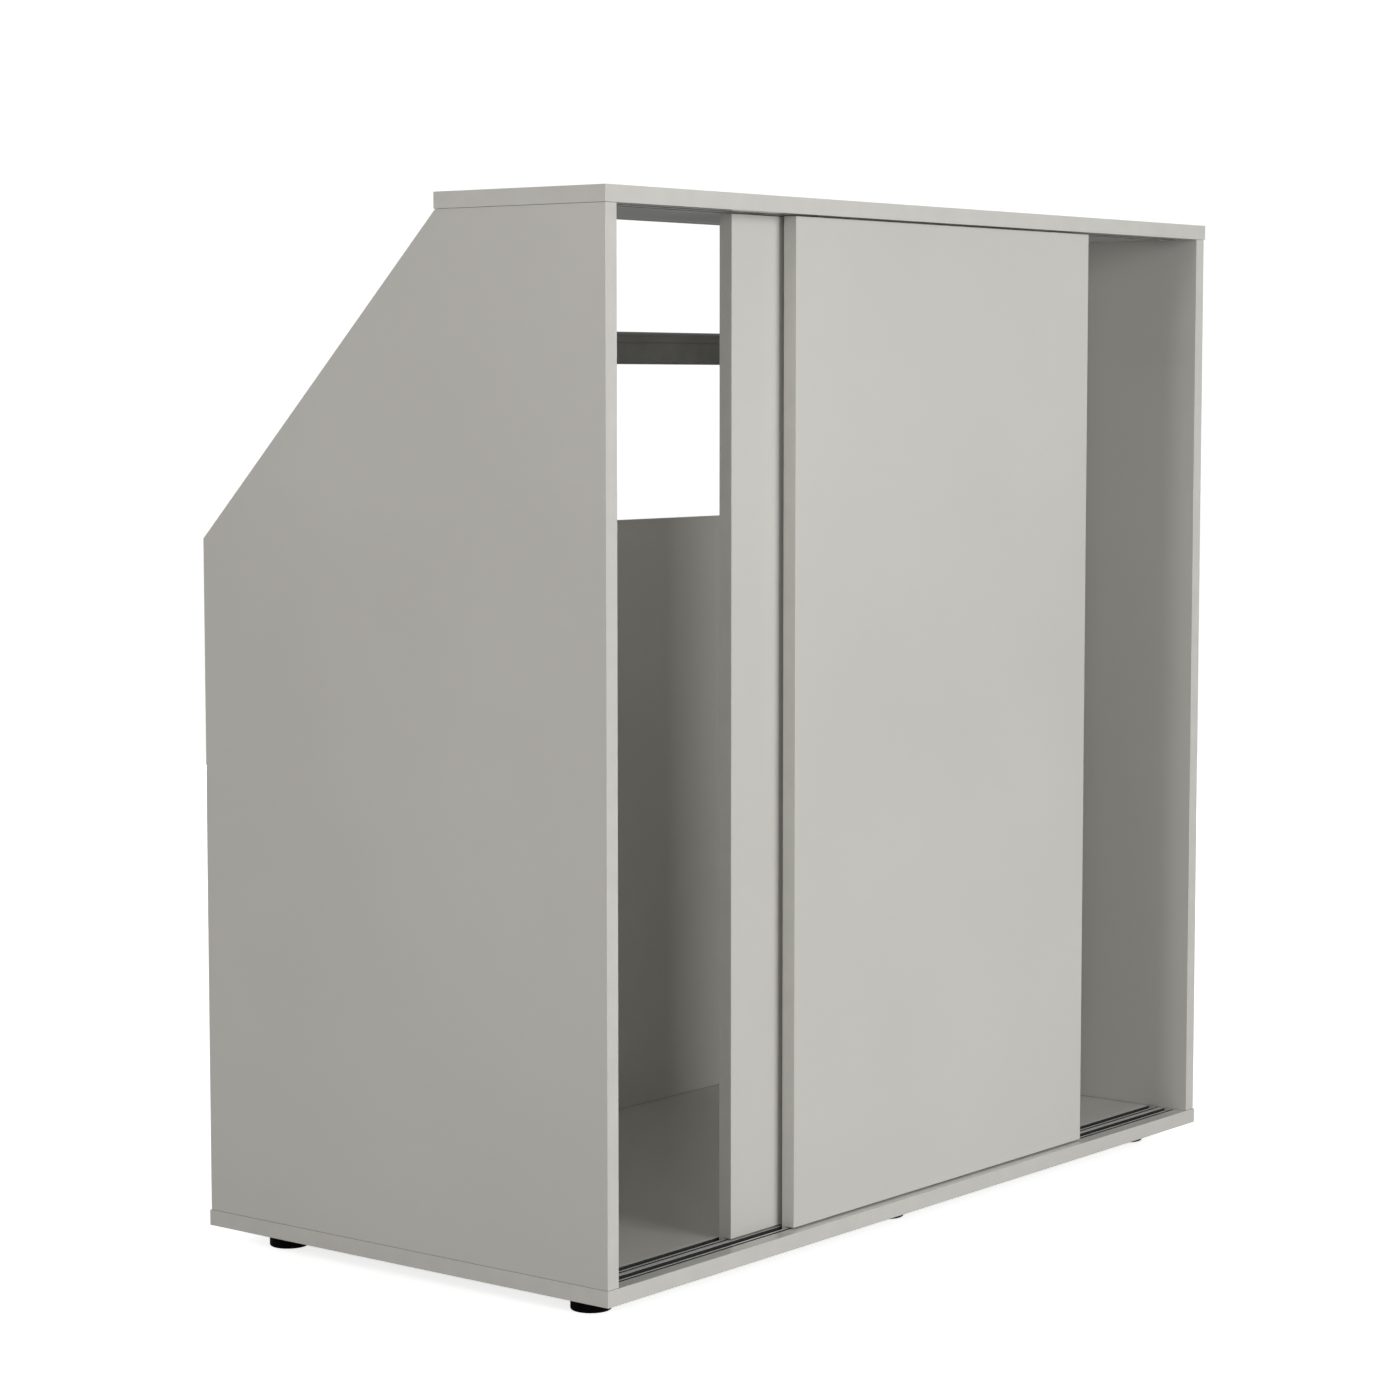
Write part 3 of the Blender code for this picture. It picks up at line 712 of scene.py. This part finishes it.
def make_socket(node, side):
    """A cup round the rail's end, its rim rounded, with two pins in the side panel."""
    low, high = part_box(node)
    pin_length = 8 * MM
    face_x = max(abs(low.x), abs(high.x)) - pin_length
    rim_x = min(abs(low.x), abs(high.x))
    half_thickness = size_of(node).y / 2
    half_height = size_of(node).z / 2
    wall = 2.2 * MM
    base = 2.5 * MM
    edge = 0.9 * MM
    flare = 0.6 * MM
    middle = centre_of("clothes_rail")

    def ring(inset, x):
        outline = oval(half_thickness - inset, half_height - inset, SOCKET_ARC_STEPS)
        return [(y, z, side * x) for y, z in outline]

    rounded = [
        ring(edge - across, rim_x + edge - out)
        for across, out in arc((0, 0), edge, 0, 1, steps=5)
    ]
    rings = [
        ring(0, face_x),
        *rounded,
        ring(wall - flare, rim_x),
        ring(wall, rim_x + flare),
        ring(wall, face_x - base),
    ]
    cup = loft(node + "_cup", rings, ANTHRACITE, turn=ALONG_X, centre=(0, middle.y, middle.z))
    pin_radius = 2.5 * MM
    pin_chamfer = 0.7 * MM
    pin_pitch = 32 * MM
    overlap = 1 * MM
    for number, up in enumerate((-1, 1)):
        pin = turned(
            node + "_pin_" + str(number),
            [
                (pin_radius, side * (face_x - overlap)),
                (pin_radius, side * (face_x + pin_length - MM)),
                (pin_radius - pin_chamfer, side * (face_x + pin_length)),
            ],
            ANTHRACITE,
            turn=ALONG_X,
            centre=(0, middle.y, middle.z + up * pin_pitch / 2),
            steps=SMALL_STEPS,
        )
        join_mesh(cup, pin)
    stand_for(cup, node)


def make_screw(node):
    """A countersunk screw with a helical thread and a cross recess."""
    middle = centre_of(node)
    centre = (middle.x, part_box(node)[1].y, middle.z)
    head_radius = size_of(node).x / 2
    length = size_of(node).y
    edge_width = 0.1 * MM
    edge_height = 0.12 * MM
    rim = 0.3 * MM
    neck = 1.3 * MM
    crest = 1.62 * MM
    root = 1.15 * MM
    pitch = 1.3 * MM
    head = 2.2 * MM
    tip = 3 * MM
    steps = 24
    rings_per_turn = 8
    rings = [
        circle(head_radius - edge_width, 0, steps),
        circle(head_radius, -edge_height, steps),
        circle(head_radius, -rim, steps),
        circle(neck, -head, steps),
    ]
    depth = head + pitch
    while depth < length - tip:
        rings.append(thread_ring(depth, root, crest, pitch, steps))
        depth += pitch / rings_per_turn
    while depth < length:
        share = (length - depth) / tip
        rings.append(thread_ring(depth, root * share, crest * share, pitch, steps))
        depth += pitch / rings_per_turn
    screw = loft(node + "_threaded", rings, STEEL, turn=FACING_BACK, centre=centre)
    for number, angle in enumerate((0, QUARTER_TURN)):
        cut_mesh(screw, recess_blade(node, number, angle, centre))
    stand_for(screw, node)


def thread_ring(depth, root, crest, pitch, steps):
    """A ring of a helical thread: its radius swells once round each turn."""
    steepness = 1.6
    ring = []
    for step in range(steps):
        phase = (depth / pitch + step / steps) % 1
        swell = max(0, 1 - abs(2 * phase - 1) * steepness)
        radius = root + (crest - root) * swell
        angle = FULL_TURN * step / steps
        ring.append((radius * math.cos(angle), radius * math.sin(angle), -depth))
    return ring


def recess_blade(node, number, angle, centre):
    """One tapered blade of the cross recess."""
    half_width = 0.42 * MM
    wide = 1.9 * MM
    narrow = 0.8 * MM
    deep = 1.5 * MM
    above = 0.5 * MM

    def ring(reach, height):
        return [
            (-reach, -half_width, height),
            (reach, -half_width, height),
            (reach, half_width, height),
            (-reach, half_width, height),
        ]

    turn = FACING_BACK @ Matrix.Rotation(angle, 4, "Z")
    rings = [ring(narrow, -deep), ring(wide, above)]
    return loft(node + "_blade_" + str(number), rings, STEEL, turn=turn, centre=centre)


def make_screws():
    for hand in HANDS:
        for number in (1, 2, 3):
            make_screw("back_screw_" + hand + "_" + str(number))


def make_dowel(node):
    """A fluted beech dowel with chamfered ends."""
    radius = size_of(node).x / 2
    half_length = size_of(node).z / 2
    chamfer = 1 * MM
    flute = 0.22 * MM
    flutes = 20
    points_per_flute = 4

    def ring(inset, height):
        points = []
        for step in range(flutes * points_per_flute):
            angle = FULL_TURN * step / (flutes * points_per_flute)
            reach = radius - inset - flute * (step % points_per_flute == 0)
            points.append((reach * math.cos(angle), reach * math.sin(angle), height))
        return points

    rings = [
        ring(chamfer, -half_length),
        ring(0, chamfer - half_length),
        ring(0, half_length - chamfer),
        ring(chamfer, half_length),
    ]
    stand_for(loft(node + "_fluted", rings, BEECH, centre=centre_of(node)), node)


def make_dowels():
    for end in ("bottom", "top"):
        for hand in HANDS:
            for place in ("front", "back"):
                make_dowel("dowel_" + end + "_" + hand + "_" + place)


def make_wheel(node):
    """A nylon wheel with a crowned tread and a thinner web between its rim and its hub."""
    radius = size_of(node).x / 2
    half = size_of(node).y / 2
    bore = 1.65 * MM
    hub = 3.8 * MM
    rim_width = 2.2 * MM
    rim = radius - rim_width
    web = 0.6 * half
    soft = 0.25 * MM
    crown = 0.12 * MM
    rounding = 0.6 * soft
    face = [
        (bore, half - soft),
        (bore + soft, half),
        (hub - soft, half),
        (hub, half - soft),
        (hub + soft, web),
        (rim - soft, web),
        (rim, half - soft),
        (rim + soft, half),
        (radius - crown - 2 * soft, half),
        (radius - crown - rounding, half - rounding),
        (radius - crown, half - 2 * soft),
    ]
    profile = [*face, (radius, 0), *[(r, -h) for r, h in reversed(face)]]
    wheel = turned(
        node + "_turned", profile, WHITE_NYLON, closed=True, turn=ALONG_Y, centre=centre_of(node)
    )
    stand_for(wheel, node)


def make_axle(node):
    """A steel pin with domed ends."""
    radius = size_of(node).x / 2
    half = size_of(node).y / 2
    dome = 0.35 * MM
    ends = [(radius - dome + out, half - dome + up) for out, up in arc((0, 0), dome, 1, 0, steps=5)]
    profile = [*ends, *[(r, -h) for r, h in reversed(ends)]]
    axle = turned(
        node + "_turned", profile, STEEL, turn=ALONG_Y, centre=centre_of(node), steps=SMALL_STEPS
    )
    stand_for(axle, node)


def make_spring(node):
    """A compression spring whose end coils are closed."""
    middle = centre_of(node)
    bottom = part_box(node)[0].z
    wire = 0.25 * MM
    coil = size_of(node).x / 2 - wire
    turns = 9
    steps_per_turn = 20
    closed_turns = 1.25
    sides = 8
    steps = turns * steps_per_turn
    closed_pitch = 2.1 * wire
    closed_rise = closed_pitch * closed_turns
    free_rise = size_of(node).z - 2 * wire - 2 * closed_rise
    rings = []
    for step in range(steps + 1):
        turn = step / steps_per_turn
        height = bottom + wire + min(turn, closed_turns) / closed_turns * closed_rise
        free = min(max(turn - closed_turns, 0), turns - 2 * closed_turns)
        height += free / (turns - 2 * closed_turns) * free_rise
        height += max(turn - turns + closed_turns, 0) / closed_turns * closed_rise
        angle = FULL_TURN * turn
        outward = Vector((math.cos(angle), math.sin(angle), 0))
        centre = Vector((middle.x, middle.y, height)) + coil * outward
        ring = []
        for side in range(sides):
            round_wire = FULL_TURN * side / sides
            ring.append(
                centre
                + wire * math.cos(round_wire) * outward
                + wire * math.sin(round_wire) * UP
            )
        rings.append(ring)
    spring = loft(node + "_coil", rings, STEEL)
    stand_for(spring, node)
    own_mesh(spring)


def make_grip_ribs(node):
    """Three ribs across the thumb tab of a guide's plunger."""
    middle = centre_of(node)
    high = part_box(node)[1]
    ribs = 3
    pitch = 1.2 * MM
    rib = 0.35 * MM
    rib_tip = 0.2 * rib
    sunk = 0.1 * MM
    half_length = 3.2 * MM
    tab_middle = high.z - PLUNGER_TOP_TO_TAB
    profile = [
        (rib_tip, -half_length),
        (rib, -half_length + rib),
        (rib, half_length - rib),
        (rib_tip, half_length),
    ]
    for number in range(ribs):
        z = tab_middle + (number - (ribs - 1) / 2) * pitch
        bar = turned(
            node + "_rib_" + str(number + 1),
            profile,
            GREY_PLASTIC,
            turn=Matrix.Rotation(QUARTER_TURN, 4, "Y"),
            centre=(middle.x, high.y - sunk, z),
            steps=RIB_STEPS,
        )
        add_to(bar, node)


def make_fittings():
    for door in DOORS:
        for hand in HANDS:
            roller = door + "_" + hand + "_roller"
            guide = door + "_" + hand + "_guide"
            make_moulding(roller + "_housing", GREY_PLASTIC)
            make_wheel(roller + "_wheel")
            make_axle(roller + "_axle")
            make_moulding(guide + "_housing", GREY_PLASTIC)
            make_moulding(guide + "_plunger", GREY_PLASTIC, SMALL_MOULDED_EDGE)
            make_grip_ribs(guide + "_plunger")
            make_spring(guide + "_spring")
    for lane in ("front", "rear"):
        for hand in HANDS:
            make_moulding("end_stop_" + lane + "_" + hand, BLACK_PLASTIC, SMALL_MOULDED_EDGE)


def make_wardrobe():
    make_boards()
    make_track("bottom_track")
    make_track("top_track")
    make_rail()
    make_socket("rail_socket_left", -1)
    make_socket("rail_socket_right", 1)
    make_feet()
    make_dowels()
    make_screws()
    make_fittings()


# Studio


def make_camera():
    data = bpy.data.cameras.new("camera")
    data.lens = CAMERA_LENS
    data.sensor_width = CAMERA_SENSOR
    camera = bpy.data.objects.new("camera", data)
    camera.location = CAMERA_PLACE
    camera.rotation_euler = (
        math.radians(90 - CAMERA_DOWN),
        0,
        math.radians(CAMERA_HEADING - 90),
    )
    bpy.context.scene.collection.objects.link(camera)
    bpy.context.scene.camera = camera


def make_floor(name, shade, height, glow=0.0):
    form = bmesh.new()
    bmesh.ops.create_circle(form, cap_ends=True, segments=FLOOR_SEGMENTS, radius=FLOOR_RADIUS)
    bmesh.ops.translate(form, verts=form.verts, vec=(0, 0, height))
    mesh = bpy.data.meshes.new(name)
    form.to_mesh(mesh)
    form.free()
    floor = bpy.data.objects.new(name, mesh)
    bpy.context.scene.collection.objects.link(floor)
    look = Look(
        name,
        Roughness=FLOOR_ROUGHNESS,
        Specular_IOR_Level=0.0,
        Emission_Color=WHITE,
        Emission_Strength=glow,
    )
    look.colour(look.noise(scale=0.8, detail=3.0), rgb(*[shade * 0.99] * 3), rgb(*[shade] * 3))
    mesh.materials.append(look.material)
    return floor


def make_floors():
    """A pale floor for the camera, and a duller one just under it that only bounces light."""
    seen = make_floor("floor", FLOOR_SHADE, 0.0, FLOOR_GLOW)
    seen.visible_diffuse = False
    seen.visible_glossy = False
    seen.visible_shadow = False
    bounce = make_floor("floor_bounce", BOUNCE_SHADE, -BOUNCE_DEPTH)
    bounce.visible_camera = False


def make_world():
    """White behind the object. Its light comes from overhead, from the right and from behind."""
    world = bpy.data.worlds.new("studio")
    bpy.context.scene.world = world
    world.use_nodes = True
    nodes = world.node_tree.nodes
    links = world.node_tree.links
    direction = nodes.new("ShaderNodeSeparateXYZ")
    links.new(nodes.new("ShaderNodeTexCoord").outputs["Generated"], direction.inputs["Vector"])

    def lobe(axis, low, high, strength):
        spread = nodes.new("ShaderNodeMapRange")
        spread.inputs["From Min"].default_value = low
        spread.inputs["From Max"].default_value = high
        spread.inputs["To Max"].default_value = strength
        links.new(direction.outputs[axis], spread.inputs["Value"])
        return spread.outputs["Result"]

    total = lobe("Z", 0.2, 0.7, SKY_OVERHEAD)
    for axis, strength in (("X", SKY_RIGHT), ("Y", SKY_BACK)):
        add = nodes.new("ShaderNodeMath")
        links.new(total, add.inputs[0])
        links.new(lobe(axis, 0.0, 1.0, strength), add.inputs[1])
        total = add.outputs["Value"]
    around = nodes["Background"]
    around.inputs["Color"].default_value = WHITE
    links.new(total, around.inputs["Strength"])
    behind = nodes.new("ShaderNodeBackground")
    behind.inputs["Color"].default_value = WHITE
    behind.inputs["Strength"].default_value = BACKDROP
    path = nodes.new("ShaderNodeLightPath")
    mix = nodes.new("ShaderNodeMixShader")
    links.new(path.outputs["Is Camera Ray"], mix.inputs["Fac"])
    links.new(around.outputs["Background"], mix.inputs[1])
    links.new(behind.outputs["Background"], mix.inputs[2])
    links.new(mix.outputs["Shader"], nodes["World Output"].inputs["Surface"])


def make_light(name, heading, rise, side, power, colour=PURE_WHITE):
    """A square soft box that faces the wardrobe and isn't mirrored in its gloss."""
    turn = math.radians(heading)
    lift = math.radians(rise)
    towards = Vector(
        (-math.sin(turn) * math.cos(lift), math.cos(turn) * math.cos(lift), -math.sin(lift))
    )
    data = bpy.data.lights.new(name, "AREA")
    data.shape = "SQUARE"
    data.size = side
    data.energy = power
    data.color = colour
    light = bpy.data.objects.new(name, data)
    light.visible_glossy = False
    light.location = Vector(STUDIO_MIDDLE) - LIGHT_DISTANCE * towards
    light.rotation_euler = towards.to_track_quat("-Z", "Y").to_euler()
    bpy.context.scene.collection.objects.link(light)


def make_lights():
    """Heading 0 is in front and -90 is on the left."""
    make_light("front_box", heading=0, rise=8, side=2.6, power=159)
    make_light("left_front_box", heading=-50, rise=10, side=1.5, power=35)
    make_light("left_low_key", heading=-84, rise=10, side=1.0, power=24, colour=WARM_WHITE)
    make_light("left_high_key", heading=-84, rise=25, side=1.0, power=35, colour=WARM_WHITE)
    make_light("left_box", heading=-95, rise=30, side=2.5, power=9, colour=WARM_WHITE)
    make_light("right_back_box", heading=135, rise=2, side=2.5, power=80)


make_camera()
make_wardrobe()
make_world()
make_floors()
make_lights()
bpy.context.scene.view_settings.view_transform = "Standard"
